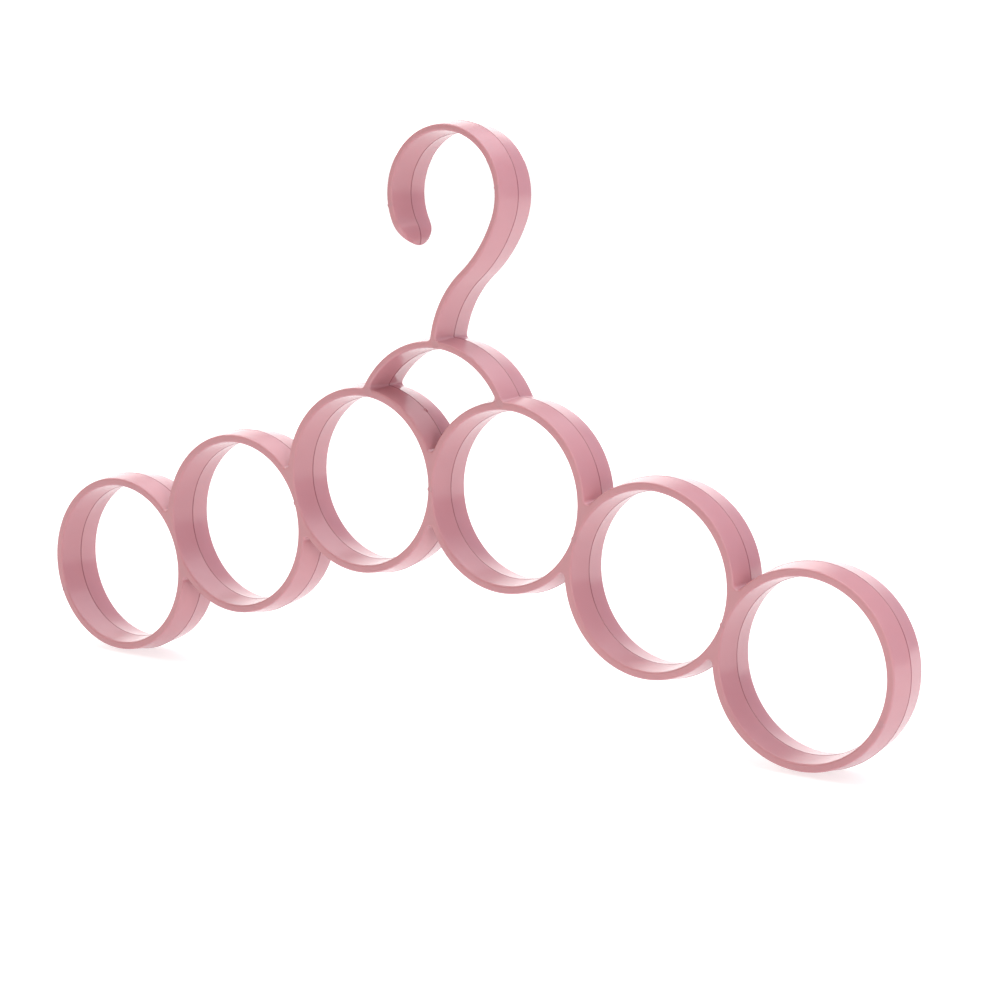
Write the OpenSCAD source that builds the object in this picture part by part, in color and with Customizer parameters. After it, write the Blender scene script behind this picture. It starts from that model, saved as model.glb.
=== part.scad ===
// Scarf hanger, moulded in one piece: six rings in a row on two sloping arms,
// an arch over the middle pair of rings, and a hook for a wardrobe rail.
// +X runs along the arms, -Y is the front, +Z is up, and the rings lie in XZ.
// The origin is the place on the hook that rests on the rail.
// The mould parts at mid depth, so every wall is thickest there and tapers
// to the front face and to the back face.

/* [Moulding] */
// Depth from the front face to the back face
depth = 20; // [16:0.5:24]
// Taper of every wall, in degrees, from the mid depth to each face
draft = 6.7; // [3:0.1:8]
// Radius of the rounded edges along both faces
edge_r = 0.8; // [0.4:0.1:1.1]
// Radius in the inner corners where walls meet, at mid depth
corner_r = 0.3; // [0.2:0.1:1]

/* [Rings] */
// Clear bore of each ring at mid depth
ring_bore = 60; // [46:1:76]
// Wall of a ring where it stands free, at mid depth
ring_wall = 5.3; // [4.6:0.1:7]
// Wall that two neighbouring rings share, at mid depth
shared_wall = 4.5; // [4:0.1:6]
// Slope of the arms from the level, in degrees
arm_slope = 20.4; // [5:0.2:32]

/* [Arch] */
// Wall of the arch at mid depth
arch_wall = 4.8; // [4:0.1:6]
// Height of the centre of the arch above the centres of the middle rings
arch_rise = 18.3; // [14:0.1:24]
// How far the middle line of the arch stands outside those centres
arch_spread = 1.5; // [0:0.1:4]

/* [Hook] */
// Wall of the hook at mid depth
hook_wall = 4.8; // [4:0.1:6]
// Clear width inside the bow of the hook at mid depth
hook_bore = 42.4; // [30:0.2:50]
// How far the start of the stem lies below the top of the arch's middle line
stem_root = 2.6; // [0:0.1:5]
// Radius of the stem, which leans out to the right
stem_r = 37.2; // [32:0.2:46]
// Turn of the stem, in degrees
stem_turn = 48.9; // [40:0.1:56]
// Radius of the neck, which bends back toward the bow
neck_r = 47.7; // [30:0.1:60]
// Turn of the neck, in degrees
neck_turn = 29.2; // [22:0.1:36]
// Turn of the bow, in degrees, from the neck to the end of the tip
bow_turn = 247.5; // [236:0.5:256]
// How far the round outline of the tip would reach past each face
tip_bulge = 0.8; // [0.3:0.1:1.6]
// Radius of the curve that thins the tip from the inside
tip_thin_r = 10; // [8:0.5:14]

/* [Hidden] */
$fn = 96;

// Straight pieces in which a rounded edge is drawn
edge_steps = 5;
// Straight pieces that bound a sector, clear outside what it covers
sector_steps = 4;
// How far cuts run past a face
past = 1;
// How far, in degrees, the foot of a leg reaches into the block below it
overlap = 3;
// Depth of a cut for a leg, in from its inner face, as a share of its wall
foot_share = 1 / 4;
// Half a turn, in degrees
half_turn = 180;
// Least step between two curves that would otherwise only just touch
skin = 0.01;

half_depth = depth / 2;
edge_y = half_depth - edge_r;
edge_in = edge_y * tan(draft) + edge_r / cos(draft);

// One point of the side of a wall: how far it lies inside the outline at mid
// depth, and its place along the depth
function rim(i, s) = let (a = 90 - i * (90 - draft) / edge_steps)
  [edge_in - edge_r * cos(a), s * (edge_y + edge_r * sin(a))];
back_rim = [for (i = [0 : edge_steps]) rim(i, 1)];
front_rim = [for (i = [edge_steps : -1 : 0]) rim(i, -1)];
side = concat(back_rim, [[0, 0]], front_rim);

// Rings
bore_r = ring_bore / 2;
ring_r = bore_r + ring_wall;
pitch = ring_bore + shared_wall;
// The corner between two rings, seen from the centre of either
notch_turn = acos(pitch / 2 / (ring_r + corner_r));
notch_z = (ring_r + corner_r) * sin(notch_turn);
step_x = pitch * cos(arm_slope);
step_z = pitch * sin(arm_slope);
inner_x = pitch / 2;
inner_z = 2 * step_z;

// Arch, seen from the centre of ring 4
arch_r = pitch / 2 + arch_spread;
arch_o = [-inner_x, arch_rise];
arch_z = inner_z + arch_rise;

// Hook
stem_c = [stem_r, arch_z + arch_r - stem_root];
stem_out = half_turn - stem_turn;
neck_c = stem_c + (stem_r + neck_r) * [cos(stem_out), sin(stem_out)];
neck_out = neck_turn - stem_turn;
bow_r = hook_bore / 2 + hook_wall / 2;
bow_c = neck_c + (neck_r - bow_r) * [cos(neck_out), sin(neck_out)];
hook_out_r = bow_r + hook_wall / 2;
seat = bow_c + [0, hook_bore / 2];
// The stem as it is seen from the centre of the arch, turned left to right
stem_o = [-stem_c[0], stem_c[1] - arch_z];

// The thinned tip: centre of its curve, and the direction where it starts
tip_end = neck_out + bow_turn;
thin_reach = hook_bore / 2 + tip_thin_r;
tip_r = half_depth + tip_bulge;
tip_line = tip_r / bow_r * half_turn / PI;
tip_wall = 1;
tip_edge = hook_out_r - tip_wall;
thin_turn = acos(
  (thin_reach ^ 2 + tip_edge ^ 2 - tip_thin_r ^ 2) / (2 * thin_reach * tip_edge)
);
thin_start = tip_end - thin_turn;

// A corner next to a leg with its centre at o that stands on a round base: a
// point at one distance from o and at another distance from the base's centre
function lean(o, r, q) = atan2(-o[1], -o[0])
  + acos((o * o + r * r - q * q) / (2 * norm(o) * r));
function at(o, r, a) = o + r * [cos(a), sin(a)];
function outer_lean(o, r, w, q) = lean(o, r + w / 2 + corner_r, q + corner_r);
function inner_lean(o, r, w, q) = lean(o, r - w / 2 - corner_r, q + corner_r);
function outer_corner(o, r, w, q) = at(o, r + w / 2 + corner_r, outer_lean(o, r, w, q));
function inner_corner(o, r, w, q) = at(o, r - w / 2 - corner_r, inner_lean(o, r, w, q));

arch_foot = inner_lean(arch_o, arch_r, arch_wall, ring_r);
stem_foot = inner_lean(stem_o, stem_r, hook_wall, arch_r + arch_wall / 2);

soft_pink = [0.83, 0.62, 0.62];
deep_pink = [0.78, 0.56, 0.58];

// A solid as deep as the moulding over an outline given as X and Z
module slab(outline, h = depth) {
  rotate([90, 0, 0])
    linear_extrude(height = h, center = true)
      polygon(outline);
}

// A slab over all directions from one to another, seen from the origin
module sector(reach, from, to, h = depth) {
  slab(concat(
    [[0, 0]],
    [for (i = [0 : sector_steps]) at([0, 0], reach, from + (to - from) * i / sector_steps)]
  ), h);
}

// A round body with the taper and the rounded edges of the moulding
module round_body(r) {
  rotate([90, 0, 0])
    rotate_extrude()
      polygon(concat(
        [[0, half_depth]],
        [for (p = side) [r - p[0], p[1]]],
        [[0, -half_depth]]
      ));
}

// A round opening that leaves the same taper and edges on the wall around it
module round_cut(p, r) {
  rise = back_rim[0] - back_rim[1];
  translate([p[0], 0, p[1]])
    rotate([90, 0, 0])
      rotate_extrude()
        polygon(concat(
          [[0, half_depth + past], [r + edge_in + rise[0], half_depth + past]],
          [[r + edge_in + rise[0], half_depth + rise[1]]],
          [for (p = side) [r + p[0], p[1]]],
          [[r + edge_in + rise[0], -half_depth - rise[1]]],
          [[r + edge_in + rise[0], -half_depth - past], [0, -half_depth - past]]
        ));
}

// A wall bent round p, from one direction to another
module bent_wall(p, r, w, from, to) {
  inside = [for (i = [len(side) - 1 : -1 : 0]) side[i]];
  translate([p[0], 0, p[1]])
    rotate([90, 0, 0])
      rotate([0, 0, from])
        rotate_extrude(angle = to - from)
          polygon(concat(
            [for (p = side) [r + w / 2 - p[0], p[1]]],
            [for (p = inside) [r - w / 2 + p[0], p[1]]]
          ));
}

// The block in which a leg that bends round o meets a round base. It reaches a
// little up the leg, where foot_cuts trims it.
module foot_block(o, r, w, base_r) {
  out_a = outer_lean(o, r, w, base_r);
  in_a = inner_lean(o, r, w, base_r);
  cut_r = r - foot_share * w;
  out_k = at(o, cut_r, 2 * out_a - in_a);
  in_k = at(o, cut_r, 2 * in_a - out_a);
  slab([
    [0, 0],
    outer_corner(o, r, w, base_r), at(o, r, out_a), at(o, r, in_a + overlap),
    at(o, r - w / 2 - corner_r, in_a + overlap), inner_corner(o, r, w, base_r)
  ]);
  difference() {
    bent_wall(o, r, w, out_a - overlap, in_a + overlap);
    slab([2 * out_k - in_k, in_k, o], depth + 2 * past);
  }
}

// The rounded corners on both sides of such a foot, and its upper end
module foot_cuts(o, r, w, base_r) {
  in_a = inner_lean(o, r, w, base_r);
  clear_a = in_a + 2 * overlap;
  round_cut(outer_corner(o, r, w, base_r), corner_r - skin);
  round_cut(inner_corner(o, r, w, base_r), corner_r - skin);
  slab([
    inner_corner(o, r, w, base_r), at(o, r + w, in_a),
    at(o, r + w, clear_a), at(o, r - w, clear_a)
  ], depth + 2 * past);
}

// The block between a ring and its neighbour in one direction
module shared_block(a) {
  rotate([0, -a, 0])
    slab([[0, 0], [pitch / 2, notch_z], [pitch / 2, -notch_z]]);
}

// Its two rounded corners, and the plane where the neighbour takes over
module shared_cuts(a) {
  rotate([0, -a, 0]) {
    round_cut([pitch / 2, notch_z], corner_r - skin);
    round_cut([pitch / 2, -notch_z], corner_r - skin);
    slab([
      [pitch / 2, -notch_z - past], [pitch / 2, notch_z + past],
      [pitch, notch_z + past], [pitch, -notch_z - past]
    ], depth + 2 * past);
  }
}

// A ring that shares a wall with its neighbour in each of the directions
module ring(neighbours) {
  difference() {
    union() {
      round_body(ring_r);
      for (a = neighbours)
        shared_block(a);
      children();
    }
    for (a = neighbours)
      shared_cuts(a);
    round_cut([0, 0], bore_r);
  }
}

module end_ring() {
  color(soft_pink)
    translate([inner_x + 2 * step_x, 0, 0])
      ring([half_turn - arm_slope]);
}

module arm_ring() {
  color(soft_pink)
    translate([inner_x + step_x, 0, step_z])
      ring([half_turn - arm_slope, -arm_slope]);
}

module middle_ring() {
  color(soft_pink)
    translate([inner_x, 0, inner_z])
      difference() {
        ring([half_turn, -arm_slope])
          foot_block(arch_o, arch_r, arch_wall, ring_r);
        foot_cuts(arch_o, arch_r, arch_wall, ring_r);
      }
}

// Moves the drawing so that the rail seat of the hook is the origin
module from_seat() {
  translate([-seat[0], 0, -seat[1]])
    children();
}

module ring_1() {
  from_seat()
    mirror([1, 0, 0])
      end_ring();
}

module ring_2() {
  from_seat()
    mirror([1, 0, 0])
      arm_ring();
}

module ring_3() {
  from_seat()
    mirror([1, 0, 0])
      middle_ring();
}

module ring_4() {
  from_seat()
    middle_ring();
}

module ring_5() {
  from_seat()
    arm_ring();
}

module ring_6() {
  from_seat()
    end_ring();
}

module arch() {
  from_seat()
    color(deep_pink)
      translate([0, 0, arch_z])
        difference() {
          union() {
            difference() {
              round_body(arch_r + arch_wall / 2);
              sector(
                2 * arch_r, half_turn - arch_foot, 2 * half_turn + arch_foot,
                depth + 2 * past
              );
            }
            mirror([1, 0, 0])
              foot_block(stem_o, stem_r, hook_wall, arch_r + arch_wall / 2);
          }
          round_cut([0, 0], arch_r - arch_wall / 2);
          mirror([1, 0, 0])
            foot_cuts(stem_o, stem_r, hook_wall, arch_r + arch_wall / 2);
        }
}

module hook_stem() {
  from_seat()
    color(soft_pink) {
      bent_wall(stem_c, stem_r, hook_wall, stem_out, half_turn - stem_foot);
      bent_wall(neck_c, neck_r, hook_wall, stem_out - half_turn, neck_out);
    }
}

module hook_bow() {
  from_seat()
    color(deep_pink)
      bent_wall(bow_c, bow_r, hook_wall, neck_out, thin_start);
}

module hook_tip() {
  reach = 2 * hook_out_r;
  quarter_turn = half_turn / 2;
  from_seat()
    color(soft_pink)
      translate([bow_c[0], 0, bow_c[1]])
        intersection() {
          round_body(hook_out_r);
          translate([thin_reach * cos(thin_start), 0, thin_reach * sin(thin_start)])
            round_body(tip_thin_r);
          sector(reach, thin_start, thin_start + quarter_turn);
          rotate([0, tip_line - tip_end, 0])
            rotate([0, 90, 0])
              cylinder(h = reach, r = tip_r);
        }
}

ring_1();
ring_2();
ring_3();
ring_4();
ring_5();
ring_6();
arch();
hook_stem();
hook_bow();
hook_tip();
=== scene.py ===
import math

import bmesh
import bpy
import numpy as np
from mathutils import Matrix, Vector


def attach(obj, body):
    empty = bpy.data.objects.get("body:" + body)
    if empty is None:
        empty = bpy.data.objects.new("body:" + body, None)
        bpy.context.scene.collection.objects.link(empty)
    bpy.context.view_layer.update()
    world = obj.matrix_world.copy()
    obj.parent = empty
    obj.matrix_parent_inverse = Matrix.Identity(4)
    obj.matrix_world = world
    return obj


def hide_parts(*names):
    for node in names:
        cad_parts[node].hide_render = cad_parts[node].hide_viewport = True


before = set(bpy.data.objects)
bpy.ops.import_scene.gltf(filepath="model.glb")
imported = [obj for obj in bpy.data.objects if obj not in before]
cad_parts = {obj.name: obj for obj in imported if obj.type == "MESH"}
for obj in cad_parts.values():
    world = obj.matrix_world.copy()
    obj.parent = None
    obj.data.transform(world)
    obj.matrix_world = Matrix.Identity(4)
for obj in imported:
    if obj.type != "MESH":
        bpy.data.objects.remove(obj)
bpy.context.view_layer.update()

MM = 0.001

# Sizes of the moulding in millimetres, the same as in the CAD source, except
# that HALF is a little under half its depth, which leaves room for the marks.
HALF = 9.94
SLANT = math.tan(math.radians(6.7))
EDGE = 0.8
CORNER = 0.3
BORE = 30.0
RING = 35.3
PITCH = 64.5
SLOPE = math.radians(20.4)
ARCH_W = 4.8
ARCH_R = PITCH / 2 + 1.5
ARCH_RISE = 18.3
HOOK_W = 4.8
STEM_ROOT = 2.6
STEM_R, STEM_TURN = 37.2, math.radians(48.9)
NECK_R, NECK_TURN = 47.7, math.radians(29.2)
# Radius of the inside of the bow, and of its middle line.
SEAT_R = 21.2
BOW_R = SEAT_R + HOOK_W / 2
BOW_TURN = math.radians(247.5)
# The curve that thins the tip from the inside, and the wall that it leaves.
THIN_R, THIN_WALL = 10.0, 1.0
# The tip rounds off over this length, like half an ellipse.
TIP_LONG = 8.5
# How far the parting line stands proud of the walls.
BEAD = 0.10
# Fineness of the meshes: rows across a flat face, length of a step along a
# wall, steps across a shared wall, across the foot of a leg and along the tip.
FLAT_STEPS = 14
STEP_MM = 0.9
SHARED_STEPS = 36
FOOT_STEPS = 10
TIP_STEPS = 44
# How far the points of a bore are drawn toward even spacing.
EVEN = 0.03


def vec(a):
    return np.array([math.cos(a), math.sin(a)])


def polar(p):
    return math.atan2(p[1], p[0])


def turn(p, a):
    c, s = math.cos(a), math.sin(a)
    return np.array([c * p[0] - s * p[1], s * p[0] + c * p[1]])


# Places, as X and Z seen from the level of the centres of rings 1 and 6.
STEP = PITCH * vec(-SLOPE)
R4 = np.array([PITCH / 2, 2 * PITCH * math.sin(SLOPE)])
R5 = R4 + STEP
R6 = R5 + STEP
ARCH_O = np.array([0.0, R4[1] + ARCH_RISE])
STEM_O = np.array([STEM_R, ARCH_O[1] + ARCH_R - STEM_ROOT])
STEM_END = math.pi - STEM_TURN
NECK_O = STEM_O + (STEM_R + NECK_R) * vec(STEM_END)
NECK_END = NECK_TURN - STEM_TURN
TIP_END = NECK_END + BOW_TURN
BOW_O = NECK_O + (NECK_R - BOW_R) * vec(NECK_END)
SEAT = BOW_O + np.array([0.0, SEAT_R])
NOTCH = math.acos(PITCH / 2 / (RING + CORNER))
NOTCH_Z = (RING + CORNER) * math.sin(NOTCH)

# Round marks that the ejector pins left on the front face: place and scale.
PINS = (
    (1.9, 97.2, 1.0), (-28.4, 77.9, 1.0), (30.2, 78.3, 1.0),
    (-62.5, 33.7, 0.7), (62.5, 33.7, 0.7), (0.0, 45.0, 0.7), (122.9, 11.2, 0.7),
    (182.8, -13.6, 0.8), (-182.8, -13.6, 0.8), (-19.1, 145.7, 0.7), (27.5, 153.5, 0.7),
)
# Radius and height of a mark's profile, from its centre to below the face.
PIN_PROFILE = (
    (0.0, 0.022), (0.12, 0.030), (0.24, 0.022), (0.32, 0.010), (0.70, 0.004), (1.02, 0.004),
    (1.12, 0.016), (1.20, 0.046), (1.28, 0.058), (1.36, 0.046), (1.44, 0.016), (1.54, -0.05),
    (1.54, -0.12), (0.0, -0.12),
)


def lean(o, r, q):
    """Direction, from o, of the point that is r from o and q from (0, 0)."""
    d2 = o @ o
    return polar(-o) + math.acos((d2 + r * r - q * q) / (2 * math.sqrt(d2) * r))


def section():
    """Side of a wall, from the front face to the back face: rows of inset, y,
    and the normal's share outward and along y."""
    a0 = math.atan(SLANT)
    ey = HALF - EDGE
    ein = ey * SLANT + EDGE / math.cos(a0)
    rows = []
    for i in range(7):
        a = math.pi / 2 - i * (math.pi / 2 - a0) / 6
        rows.append((ein - EDGE * math.cos(a), ey + EDGE * math.sin(a), math.cos(a), math.sin(a)))
    c, s = math.cos(a0), math.sin(a0)
    rows += [(y * SLANT, y, c, s) for y in (6.0, 2.5, 0.34)]
    back = [(d + BEAD, y, n, t) for d, y, n, t in rows]
    back += [(0.02 * SLANT + BEAD * 0.75, 0.20, 0.93, 0.37), (BEAD * 0.2, 0.09, 0.9, 0.43)]
    front = [(d, -y, n, -t) for d, y, n, t in back]
    return front + [(0.0, 0.0, 1.0, 0.0)] + back[::-1]


SECTION = section()
FACE_INSET = SECTION[0][0]


class Arc:
    """A round stretch of an outline. The material is inside the circle, or
    outside it in a bore or a corner."""

    def __init__(self, o, r, a0, a1, inside, angles=None, guide=None):
        self.o, self.r, self.sign = np.array(o, float), r, 1.0 if inside else -1.0
        self.guide = guide
        if angles is None:
            n = max(2, int(math.ceil(abs(a1 - a0) * max(r, 2.0) / STEP_MM)))
            angles = np.linspace(a0, a1, n + 1)
        self.t = angles
        self.u = np.stack([np.cos(self.t), np.sin(self.t)], 1)

    def at(self, d):
        return self.o + self.u * (self.r - self.sign * d)

    def normals(self):
        return self.sign * self.u


class Cut:
    """A straight cut between two arcs, where the next piece takes over."""

    def __init__(self, normal, n, guide=None):
        self.normal, self.n, self.guide = np.array(normal, float), n, guide


class Outline:
    def __init__(self, runs, closed):
        self.runs, self.closed = runs, closed
        na, nb = [], []
        for run in runs:
            if isinstance(run, Arc):
                n = run.normals()
                na += list(n[:-1])
                nb += list(n[1:])
            else:
                na += [run.normal] * run.n
                nb += [run.normal] * run.n
        self.na, self.nb = np.array(na), np.array(nb)

    def at(self, d):
        out, last = [], None
        for i, run in enumerate(self.runs):
            if isinstance(run, Arc):
                p = run.at(d)
                out += list(p[1:] if isinstance(last, Arc) else p)
            else:
                a = out[-1]
                b = self.runs[(i + 1) % len(self.runs)].at(d)[0]
                out += [a + (b - a) * k / run.n for k in range(1, run.n)]
            last = run
        if self.closed and isinstance(last, Arc):
            out = out[:-1]
        return np.array(out)


def bore_angles(outer, o):
    """Directions from o that suit the points of an outline: each point's own,
    except where a run brings a guide from one direction to another."""
    p = outer.at(FACE_INSET) - o
    own = np.arctan2(p[:, 1], p[:, 0])
    out, last = [], None
    for run in outer.runs:
        count = len(run.t) if isinstance(run, Arc) else run.n + 1
        keep = slice(1 if isinstance(last, Arc) else 0, None) if isinstance(run, Arc) else slice(1, -1)
        size = len(range(count)[keep])
        part = own[len(out):len(out) + size]
        if run.guide is not None:
            part = np.linspace(*run.guide, count)[keep][:len(part)]
        out += list(part)
        last = run
    return np.unwrap(np.array(out))


def matched(outer, o, r):
    """The bore about o that goes with an outer outline, point by point."""
    t = bore_angles(outer, o)
    if outer.closed:
        t = np.append(t, t[0] + 2 * math.pi)
    line = np.linspace(t[0], t[-1], len(t))
    t = (1 - EVEN) * np.maximum.accumulate(t) + EVEN * line
    return Outline([Arc(o, r, 0, 0, False, t)], outer.closed)


def shared(a):
    """Runs of a ring at the wall that it shares with the neighbour toward a."""
    low = turn((PITCH / 2, -NOTCH_Z), a)
    high = turn((PITCH / 2, NOTCH_Z), a)
    q = math.pi / 2
    return [
        Arc(low, CORNER, a + math.pi - NOTCH, a + q, False),
        Cut(vec(a), SHARED_STEPS),
        Arc(high, CORNER, a + 3 * q, a + math.pi + NOTCH, False),
    ]


def along_leg(p, a, bore):
    """Direction of the point where a line down the leg from p meets the bore."""
    t = np.array([math.sin(a), -math.cos(a)])
    k = p @ t
    return polar(p + t * (-k - math.sqrt(k * k - p @ p + bore * bore)))


def foot(o, r, w, base, bore):
    """Runs of a round base at (0, 0) where a leg that bends round o stands on
    it, with the directions where the base's own wall ends and starts again."""
    out_a = lean(o, r + w / 2 + CORNER, base + CORNER)
    in_a = lean(o, r - w / 2 - CORNER, base + CORNER)
    out_p = o + (r + w / 2 + CORNER) * vec(out_a)
    in_p = o + (r - w / 2 - CORNER) * vec(in_a)
    down_out = polar(-out_p) % (2 * math.pi)
    down_in = polar(-in_p)
    face_bore = bore + FACE_INSET
    low = along_leg(o + (r + w / 2 - FACE_INSET) * vec(in_a), in_a, face_bore)
    high = along_leg(o + (r - w / 2 + FACE_INSET) * vec(in_a), in_a, face_bore)
    g = [low + (high - low) * f for f in (0.2, 0.4, 0.8)]
    runs = [
        Arc(out_p, CORNER, down_out, out_a + math.pi, False, guide=(polar(out_p), g[0])),
        Arc(o, r + w / 2, out_a, in_a, True, guide=(g[0], g[1])),
        Cut(vec(in_a + math.pi / 2), FOOT_STEPS, guide=(g[1], g[2])),
        Arc(in_p, CORNER, in_a, down_in, False, guide=(g[2], polar(in_p))),
    ]
    return runs, polar(out_p), polar(in_p), in_a


def build(name, outer, inner, shift, mirror, closed, caps=()):
    """A piece of the moulding between two outlines that go together. caps: at
    which end (0 or 1) a cut face closes it, and which way that face looks."""
    o_l = [outer.at(d) for d, _, _, _ in SECTION]
    i_l = [inner.at(d) for d, _, _, _ in SECTION]
    lv = len(SECTION)
    count = len(o_l[0])
    rows = []
    for j, (d, y, n, t) in enumerate(SECTION):
        rows.append((o_l[j], y, "o", n, t))
    for k in range(1, FLAT_STEPS):
        f = k / FLAT_STEPS
        rows.append((o_l[-1] * (1 - f) + i_l[-1] * f, HALF, "f", 0, 1))
    for j in range(lv - 1, -1, -1):
        d, y, n, t = SECTION[j]
        rows.append((i_l[j], y, "i", n, t))
    for k in range(1, FLAT_STEPS):
        f = k / FLAT_STEPS
        rows.append((i_l[0] * (1 - f) + o_l[0] * f, -HALF, "f", 0, -1))
    m = len(rows)
    verts = np.zeros((count, m, 3))
    for j, (p, y, _, _, _) in enumerate(rows):
        verts[:, j, 0], verts[:, j, 1], verts[:, j, 2] = p[:, 0], y, p[:, 1]
    steps = count if closed else count - 1
    corner_n = np.zeros((steps, 2, m, 3))
    for j, (_, _, kind, n, t) in enumerate(rows):
        side = outer if kind == "o" else inner
        if kind == "f":
            corner_n[:, :, j, 1] = t
            continue
        for e, nn in ((0, side.na), (1, side.nb)):
            corner_n[:, e, j, 0] = nn[:steps, 0] * n
            corner_n[:, e, j, 1] = t
            corner_n[:, e, j, 2] = nn[:steps, 1] * n
    verts = verts.reshape(-1, 3)
    faces, loops = [], []
    for k in range(steps):
        k2 = (k + 1) % count
        for j in range(m):
            j2 = (j + 1) % m
            faces.append((k * m + j, k * m + j2, k2 * m + j2, k2 * m + j))
            loops += [corner_n[k, 0, j], corner_n[k, 0, j2], corner_n[k, 1, j2], corner_n[k, 1, j]]
    for end, normal in caps:
        ring = [(0 if end == 0 else count - 1) * m + j for j in range(m)]
        if end == 0:
            ring = ring[::-1]
        faces.append(tuple(ring))
        loops += [np.array([normal[0], 0, normal[1]])] * m
    return finish_mesh(name, verts, faces, np.array(loops), shift, mirror)


def finish_mesh(name, verts, faces, loops, shift, mirror):
    """Moves a piece to its place and gives it its mesh with these normals."""
    verts = verts.copy()
    verts[:, 0] += shift[0]
    verts[:, 2] += shift[1]
    if mirror:
        verts[:, 0] *= -1
        loops = loops.copy()
        loops[:, 0] *= -1
    # A mirrored face has to run the other way round to look outward.
    way = -1 if mirror else 1
    turned, turned_loops, at = [], [], 0
    for f in faces:
        turned.append(f[::way])
        turned_loops.append(loops[at:at + len(f)][::way])
        at += len(f)
    loops = np.concatenate(turned_loops)
    verts[:, 0] -= SEAT[0]
    verts[:, 2] -= SEAT[1]
    mesh = bpy.data.meshes.new(name)
    mesh.from_pydata((verts * MM).tolist(), [], turned)
    mesh.polygons.foreach_set("use_smooth", [True] * len(mesh.polygons))
    mesh.update()
    ln = loops / np.linalg.norm(loops, axis=1, keepdims=True)
    mesh.normals_split_custom_set(ln.tolist())
    obj = bpy.data.objects.new(name, mesh)
    bpy.context.scene.collection.objects.link(obj)
    return obj


PIECES = []


def piece(obj, node):
    """Makes the object the dressed form of a node of the frame."""
    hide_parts(node)
    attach(obj, "root")
    PIECES.append(obj)
    return obj


def ring_piece(number, centre, neighbours, mirror, leg=None):
    """neighbours: directions of the neighbours, in order of angle."""
    runs = []
    for i, a in enumerate(neighbours):
        runs += shared(a)
        start = a + NOTCH
        stop = neighbours[(i + 1) % len(neighbours)] - NOTCH
        if stop < start:
            stop += 2 * math.pi
        if leg is not None and i == 0:
            f, first, again, _ = leg
            runs.append(Arc((0, 0), RING, start, first, True))
            runs += f
            start = again
        runs.append(Arc((0, 0), RING, start, stop, True))
    outer = Outline(runs, True)
    inner = matched(outer, np.zeros(2), BORE)
    obj = build("moulded_ring_%d" % number, outer, inner, centre, mirror, True)
    piece(obj, "ring_%d" % number)


LEFT = math.pi
foot_4 = foot(ARCH_O - R4, ARCH_R, ARCH_W, RING, BORE)
for side, names in ((False, (4, 5, 6)), (True, (3, 2, 1))):
    ring_piece(names[0], R4, [-SLOPE, LEFT], side, foot_4)
    ring_piece(names[1], R5, [-SLOPE, LEFT - SLOPE], side)
    ring_piece(names[2], R6, [LEFT - SLOPE], side)

# The arch is drawn as its mirror image, because the leg on it leans left there.
stem_o = np.array([-STEM_O[0], STEM_O[1]]) - ARCH_O
runs, first, again, stem_in = foot(stem_o, STEM_R, HOOK_W, ARCH_R + ARCH_W / 2, ARCH_R - ARCH_W / 2)
arch_in = foot_4[3]
outer = Outline(
    [Arc((0, 0), ARCH_R + ARCH_W / 2, arch_in, first, True)] + runs
    + [Arc((0, 0), ARCH_R + ARCH_W / 2, again, math.pi - arch_in, True)], False)
inner = matched(outer, np.zeros(2), ARCH_R - ARCH_W / 2)
caps = ((0, vec(arch_in - math.pi / 2)), (1, vec(1.5 * math.pi - arch_in)))
piece(build("moulded_arch", outer, inner, ARCH_O, True, False, caps), "arch")

# The stem and the neck: right-hand side, then left-hand side.
h = HOOK_W / 2
root = math.pi - stem_in
n1 = int((root - STEM_END) * STEM_R / STEP_MM)
n2 = int(NECK_TURN * NECK_R / STEP_MM)
t1 = np.linspace(root, STEM_END, n1 + 1)
t2 = np.linspace(NECK_END - NECK_TURN, NECK_END, n2 + 1)
right = Outline([Arc(STEM_O, STEM_R - h, 0, 0, False, t1), Arc(NECK_O, NECK_R + h, 0, 0, True, t2)], False)
left = Outline([Arc(STEM_O, STEM_R + h, 0, 0, True, t1), Arc(NECK_O, NECK_R - h, 0, 0, False, t2)], False)
caps = ((0, vec(root + math.pi / 2)), (1, vec(NECK_END + math.pi / 2)))
piece(build("moulded_stem", right, left, (0, 0), False, False, caps), "hook_stem")

# The bow, up to where the tip starts to round off.
OUT_R = BOW_R + h
reach = SEAT_R + THIN_R
tip_edge = OUT_R - THIN_WALL
thin_turn = math.acos((reach ** 2 + tip_edge ** 2 - THIN_R ** 2) / (2 * reach * tip_edge))
THIN = TIP_END - thin_turn
TIP_START = TIP_END - TIP_LONG / BOW_R
n = int((TIP_START - NECK_END) * BOW_R / STEP_MM)
t = np.linspace(NECK_END, TIP_START, n + 1)
right = Outline([Arc(BOW_O, OUT_R, 0, 0, True, t)], False)
left = Outline([Arc(BOW_O, BOW_R - h, 0, 0, False, t)], False)
caps = ((0, vec(NECK_END - math.pi / 2)), (1, vec(TIP_START + math.pi / 2)))
piece(build("moulded_bow", right, left, (0, 0), False, False, caps), "hook_bow")


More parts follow.
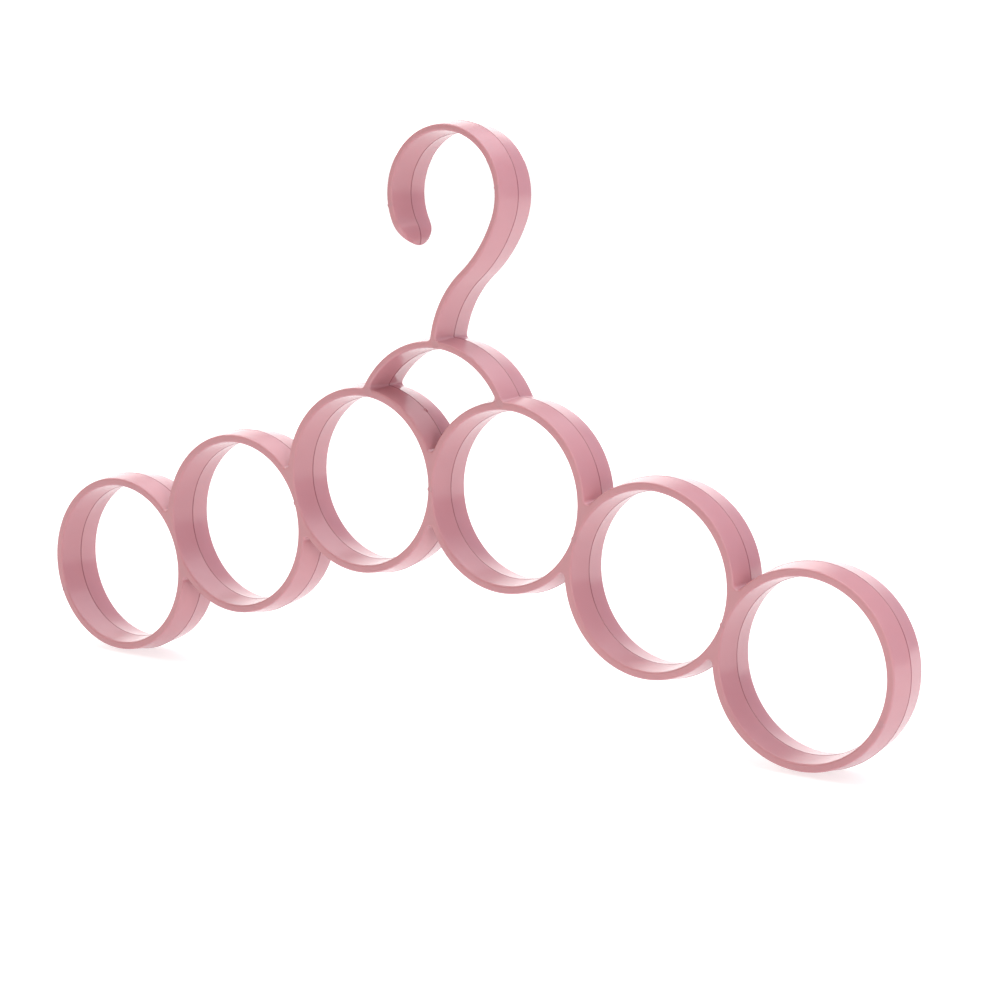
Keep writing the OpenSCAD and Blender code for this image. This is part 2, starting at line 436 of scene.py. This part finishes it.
def tip_piece():
    """The tip: its outline rounds off along the depth, and the inside of the
    bow curves out to meet the outside."""
    loops = []

    def inner_r(a):
        x = a - THIN
        if x <= 0:
            return SEAT_R
        return reach * math.cos(x) - math.sqrt(max(THIN_R ** 2 - (reach * math.sin(x)) ** 2, 0.0))

    for v in np.linspace(0.0, math.pi / 2 - 0.02, TIP_STEPS):
        ring = []
        nx, ny = math.sin(v) / TIP_LONG, math.cos(v) / HALF
        ln = math.hypot(nx, ny)
        nx, ny = nx / ln, ny / ln
        bs, by = TIP_LONG * math.sin(v), HALF * math.cos(v)
        for side in ("o", "i"):
            row = []
            for d, y, _, _ in SECTION:
                depth_in = HALF - abs(y)
                inset = min(depth_in, EDGE)
                s = bs - inset * nx
                yy = max(by - inset * ny, 0.0)
                if depth_in > EDGE:
                    yy *= abs(y) / (HALF - EDGE)
                a = TIP_START + s / BOW_R
                ri = inner_r(a)
                thick = OUT_R - ri
                dd = yy * SLANT + BEAD
                if abs(y) < 0.3:
                    dd = d
                e = min(EDGE, 0.42 * max(thick - 2 * dd, 0.05))
                if depth_in < EDGE:
                    q = 1.0 - depth_in / EDGE
                    dd += e * (1.0 - math.sqrt(max(1.0 - q * q, 0.0)))
                r = OUT_R - dd if side == "o" else ri + dd
                row.append((a, r, math.copysign(yy, y) if y else 0.0))
            ring.append(row)
        o_row, i_row = ring
        loop = list(o_row)
        for k in range(1, FLAT_STEPS):
            f = k / FLAT_STEPS
            loop.append(tuple(p * (1 - f) + q * f for p, q in zip(o_row[-1], i_row[-1])))
        loop += i_row[::-1]
        for k in range(1, FLAT_STEPS):
            f = k / FLAT_STEPS
            loop.append(tuple(p * (1 - f) + q * f for p, q in zip(i_row[0], o_row[0])))
        loops.append(loop)
    m = len(loops[0])
    verts = np.array([
        [BOW_O[0] + r * math.cos(a), y, BOW_O[1] + r * math.sin(a)]
        for loop in loops for a, r, y in loop])
    faces = []
    for k in range(len(loops) - 1):
        for j in range(m):
            j2 = (j + 1) % m
            faces.append((k * m + j, k * m + j2, (k + 1) * m + j2, (k + 1) * m + j))
    faces.append(tuple(range(m))[::-1])
    faces.append(tuple((len(loops) - 1) * m + j for j in range(m)))
    # Normals from the surface itself, taken over the smooth skin.
    normal = np.zeros_like(verts)
    for f in faces[:-2]:
        p = verts[list(f)]
        nn = np.cross(p[2] - p[0], p[3] - p[1])
        for i in f:
            normal[i] += nn
    # The first row carries on the bow.
    rows = [("o", n, t) for _, _, n, t in SECTION] + [("f", 0, 1)] * (FLAT_STEPS - 1)
    rows += [("i", n, t) for _, _, n, t in SECTION[::-1]] + [("f", 0, -1)] * (FLAT_STEPS - 1)
    u = vec(TIP_START)
    for j, (kind, n, t) in enumerate(rows):
        sg = {"o": 1.0, "i": -1.0, "f": 0.0}[kind]
        normal[j] = (u[0] * n * sg, t, u[1] * n * sg)
    ln = np.linalg.norm(normal, axis=1, keepdims=True)
    normal = np.where(ln > 1e-12, normal / np.maximum(ln, 1e-12), np.array([[0, 0, 1.0]]))
    out = []
    for i, f in enumerate(faces):
        if i == len(faces) - 2:
            c = vec(TIP_START - math.pi / 2)
            out += [np.array([c[0], 0, c[1]])] * len(f)
        else:
            out += [normal[v] for v in f]
    return finish_mesh("moulded_tip", verts, faces, np.array(out), (0, 0), False)


piece(tip_piece(), "hook_tip")


def lathe(name, profile, steps, place):
    """Closed bodies turned from one profile of radius and height: place gives,
    for each, its foot, two directions across and the direction of its height."""
    verts, faces = [], []
    for foot_at, across, along, up in place:
        base = len(verts)
        for r, hgt in profile:
            for k in range(steps):
                a = 2 * math.pi * k / steps
                verts.append(foot_at + (across * math.cos(a) + along * math.sin(a)) * r + up * hgt)
        rows = len(profile)
        for j in range(rows - 1):
            for k in range(steps):
                k2 = (k + 1) % steps
                quad = [base + j * steps + k, base + (j + 1) * steps + k,
                        base + (j + 1) * steps + k2, base + j * steps + k2]
                faces.append(quad)
    mesh = bpy.data.meshes.new(name)
    mesh.from_pydata([tuple((v - np.array([SEAT[0], 0, SEAT[1]])) * MM) for v in verts], [], faces)
    bm = bmesh.new()
    bm.from_mesh(mesh)
    bmesh.ops.remove_doubles(bm, verts=bm.verts, dist=1e-8)
    bmesh.ops.recalc_face_normals(bm, faces=bm.faces)
    bm.to_mesh(mesh)
    bm.free()
    mesh.polygons.foreach_set("use_smooth", [True] * len(mesh.polygons))
    obj = bpy.data.objects.new(name, mesh)
    bpy.context.scene.collection.objects.link(obj)
    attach(obj, "root")
    PIECES.append(obj)


X, Y, Z = np.eye(3)
lathe("ejector_marks", PIN_PROFILE, 32, [
    (np.array([px, -HALF, pz]), X * k, Z * k, -Y) for px, pz, k in PINS])

# The stub that the gate left on ring 3, beside the parting line.
GATE, GATE_SIDE = math.radians(50), 0.35
gate_out = np.array([math.cos(GATE), 0, math.sin(GATE)])
gate_foot = np.array([-R4[0], GATE_SIDE, R4[1]]) + gate_out * RING
GATE_PROFILE = (
    (0.0, 0.26), (0.35, 0.25), (0.62, 0.20), (0.80, 0.10), (0.90, -0.05), (0.90, -0.25), (0.0, -0.25),
)
lathe("gate_stub", GATE_PROFILE, 28, [(gate_foot, Y, np.cross(gate_out, Y), gate_out)])


def plastic():
    """Glossy moulded plastic: slightly uneven in colour and surface, with painted
    shade: a fine darker line painted along the parting plane."""
    mat = bpy.data.materials.new("dusty_rose_plastic")
    mat.use_nodes = True
    nt = mat.node_tree
    new, link = nt.nodes.new, nt.links.new
    bsdf = nt.nodes["Principled BSDF"]
    bsdf.inputs["IOR"].default_value = 1.5
    bsdf.inputs["Subsurface Weight"].default_value = 0.12
    bsdf.inputs["Subsurface Radius"].default_value = (1.0, 0.35, 0.30)
    bsdf.inputs["Subsurface Scale"].default_value = 0.0025
    coord = new("ShaderNodeTexCoord")

    def noise(scale, detail):
        n = new("ShaderNodeTexNoise")
        n.inputs["Scale"].default_value = scale
        n.inputs["Detail"].default_value = detail
        link(coord.outputs["Object"], n.inputs["Vector"])
        return n.outputs["Fac"]

    def span(value, lo, hi, to_lo, to_hi, smooth=False):
        m = new("ShaderNodeMapRange")
        m.interpolation_type = "SMOOTHSTEP" if smooth else "LINEAR"
        for name, v in (("From Min", lo), ("From Max", hi), ("To Min", to_lo), ("To Max", to_hi)):
            m.inputs[name].default_value = v
        link(value, m.inputs["Value"])
        return m.outputs["Result"]

    def mix(blend, factor, a, b):
        m = new("ShaderNodeMix")
        m.data_type = "RGBA"
        m.blend_type = blend
        if isinstance(factor, float):
            m.inputs["Factor"].default_value = factor
        else:
            link(factor, m.inputs["Factor"])
        for name, v in (("A", a), ("B", b)):
            if isinstance(v, tuple):
                m.inputs[name].default_value = v
            else:
                link(v, m.inputs[name])
        return m.outputs["Result"]

    flow = span(noise(38.0, 2.0), 0.35, 0.65, 0.0, 1.0)
    base = mix("MIX", flow, (0.545, 0.262, 0.290, 1), (0.520, 0.246, 0.276, 1))
    # Painted shade: the base colour darkens in a fine line where the object's y is near zero, along the
    # parting plane, standing in for the shade that falls in a crease there.
    split = new("ShaderNodeSeparateXYZ")
    link(coord.outputs["Object"], split.inputs["Vector"])
    away = new("ShaderNodeMath")
    away.operation = "ABSOLUTE"
    link(split.outputs["Y"], away.inputs[0])
    line = span(away.outputs[0], 0.00012, 0.00042, 1.0, 0.0, True)
    base = mix("MIX", line, base, (0.30, 0.105, 0.125, 1))
    link(base, bsdf.inputs["Base Color"])
    link(span(noise(420.0, 3.0), 0.3, 0.7, 0.17, 0.25), bsdf.inputs["Roughness"])

    wave = new("ShaderNodeBump")
    wave.inputs["Strength"].default_value = 1.0
    wave.inputs["Distance"].default_value = 0.00008
    link(noise(70.0, 1.0), wave.inputs["Height"])
    grain = new("ShaderNodeBump")
    grain.inputs["Strength"].default_value = 1.0
    grain.inputs["Distance"].default_value = 0.000006
    link(noise(900.0, 2.0), grain.inputs["Height"])
    link(wave.outputs["Normal"], grain.inputs["Normal"])
    link(grain.outputs["Normal"], bsdf.inputs["Normal"])
    return mat


MAT = plastic()
for obj in PIECES:
    obj.data.materials.append(MAT)

# Floor, light and camera.
bpy.context.scene.view_settings.view_transform = "Standard"
FLOOR_Z = (-SEAT[1] - RING) * MM - 0.0002


def plain(name, colour, rough, glow):
    mat = bpy.data.materials.new(name)
    mat.use_nodes = True
    b = mat.node_tree.nodes["Principled BSDF"]
    b.inputs["Base Color"].default_value = colour
    b.inputs["Roughness"].default_value = rough
    b.inputs["Specular IOR Level"].default_value = 0.3
    b.inputs["Emission Color"].default_value = (1, 1, 1, 1)
    b.inputs["Emission Strength"].default_value = glow
    return mat


floor_mesh = bpy.data.meshes.new("floor")
floor_mesh.from_pydata(
    [(-6, -6, FLOOR_Z), (6, -6, FLOOR_Z), (6, 6, FLOOR_Z), (-6, 6, FLOOR_Z)], [], [(0, 1, 2, 3)])
floor = bpy.data.objects.new("floor", floor_mesh)
floor.data.materials.append(plain("pale_floor", (0.5, 0.5, 0.5, 1), 0.6, 0.65))
bpy.context.scene.collection.objects.link(floor)


def area(name, place, aim, size, power, colour=(1, 1, 1)):
    light = bpy.data.lights.new(name, "AREA")
    light.shape = "RECTANGLE"
    light.size, light.size_y = size
    light.energy = power
    light.color = colour
    obj = bpy.data.objects.new(name, light)
    obj.location = place
    obj.rotation_euler = (Vector(aim) - Vector(place)).to_track_quat("-Z", "Y").to_euler()
    bpy.context.scene.collection.objects.link(obj)
    return obj


area("top_box", (0.15, 0.42, 1.15), (0.15, 0.42, 0.0), (4.0, 1.6), 44, (0.97, 0.98, 1.0))
area("front_right_box", (1.15, -0.75, 0.15), (0, 0, -0.08), (0.35, 0.9), 5.0, (1.0, 0.95, 0.93))


def studio_world():
    """White behind the hanger, dimmer elsewhere: warm in front, cool on the right."""
    world = bpy.data.worlds.new("studio")
    bpy.context.scene.world = world
    world.use_nodes = True
    nt = world.node_tree
    coord = nt.nodes.new("ShaderNodeTexCoord")
    colour = None
    for toward, low, high, tint in (
        ((0.70, 0.55, 0.0), -0.6, 0.6, (0.28, 0.28, 0.36, 1)),
        ((-0.58, 0.81, 0.0), 0.72, 0.92, (1.90, 1.90, 1.90, 1)),
    ):
        dot = nt.nodes.new("ShaderNodeVectorMath")
        dot.operation = "DOT_PRODUCT"
        dot.inputs[1].default_value = toward
        nt.links.new(coord.outputs["Generated"], dot.inputs[0])
        share = nt.nodes.new("ShaderNodeMapRange")
        share.interpolation_type = "SMOOTHSTEP"
        share.inputs["From Min"].default_value = low
        share.inputs["From Max"].default_value = high
        nt.links.new(dot.outputs["Value"], share.inputs["Value"])
        mix = nt.nodes.new("ShaderNodeMix")
        mix.data_type = "RGBA"
        nt.links.new(share.outputs["Result"], mix.inputs["Factor"])
        if colour is None:
            mix.inputs["A"].default_value = (0.58, 0.52, 0.42, 1)
        else:
            nt.links.new(colour, mix.inputs["A"])
        mix.inputs["B"].default_value = tint
        colour = mix.outputs["Result"]
    nt.links.new(colour, nt.nodes["Background"].inputs["Color"])


studio_world()

# Camera: found from the photograph by fitting the rings.
AZ, EL, ROLL = 0.61804983, 0.15462396, 0.01437272
CAM_AT = (566.314 - SEAT[0], -762.228, 187.869 - SEAT[1])
LENS = 2654.710 / 1002 * 36
back = Vector((math.sin(AZ) * math.cos(EL), -math.cos(AZ) * math.cos(EL), math.sin(EL)))
r0 = Vector((math.cos(AZ), math.sin(AZ), 0))
u0 = back.cross(r0)
right_v = r0 * math.cos(ROLL) + u0 * math.sin(ROLL)
up_v = -r0 * math.sin(ROLL) + u0 * math.cos(ROLL)
cam_data = bpy.data.cameras.new("photo_camera")
cam_data.sensor_width = 36
cam_data.sensor_fit = "HORIZONTAL"
cam_data.lens = LENS
cam_data.clip_start = 0.02
cam_data.clip_end = 30
cam = bpy.data.objects.new("photo_camera", cam_data)
rot = Matrix((right_v, up_v, back)).transposed().to_4x4()
cam.matrix_world = Matrix.Translation(Vector(CAM_AT) * MM) @ rot
bpy.context.scene.collection.objects.link(cam)
bpy.context.scene.camera = cam
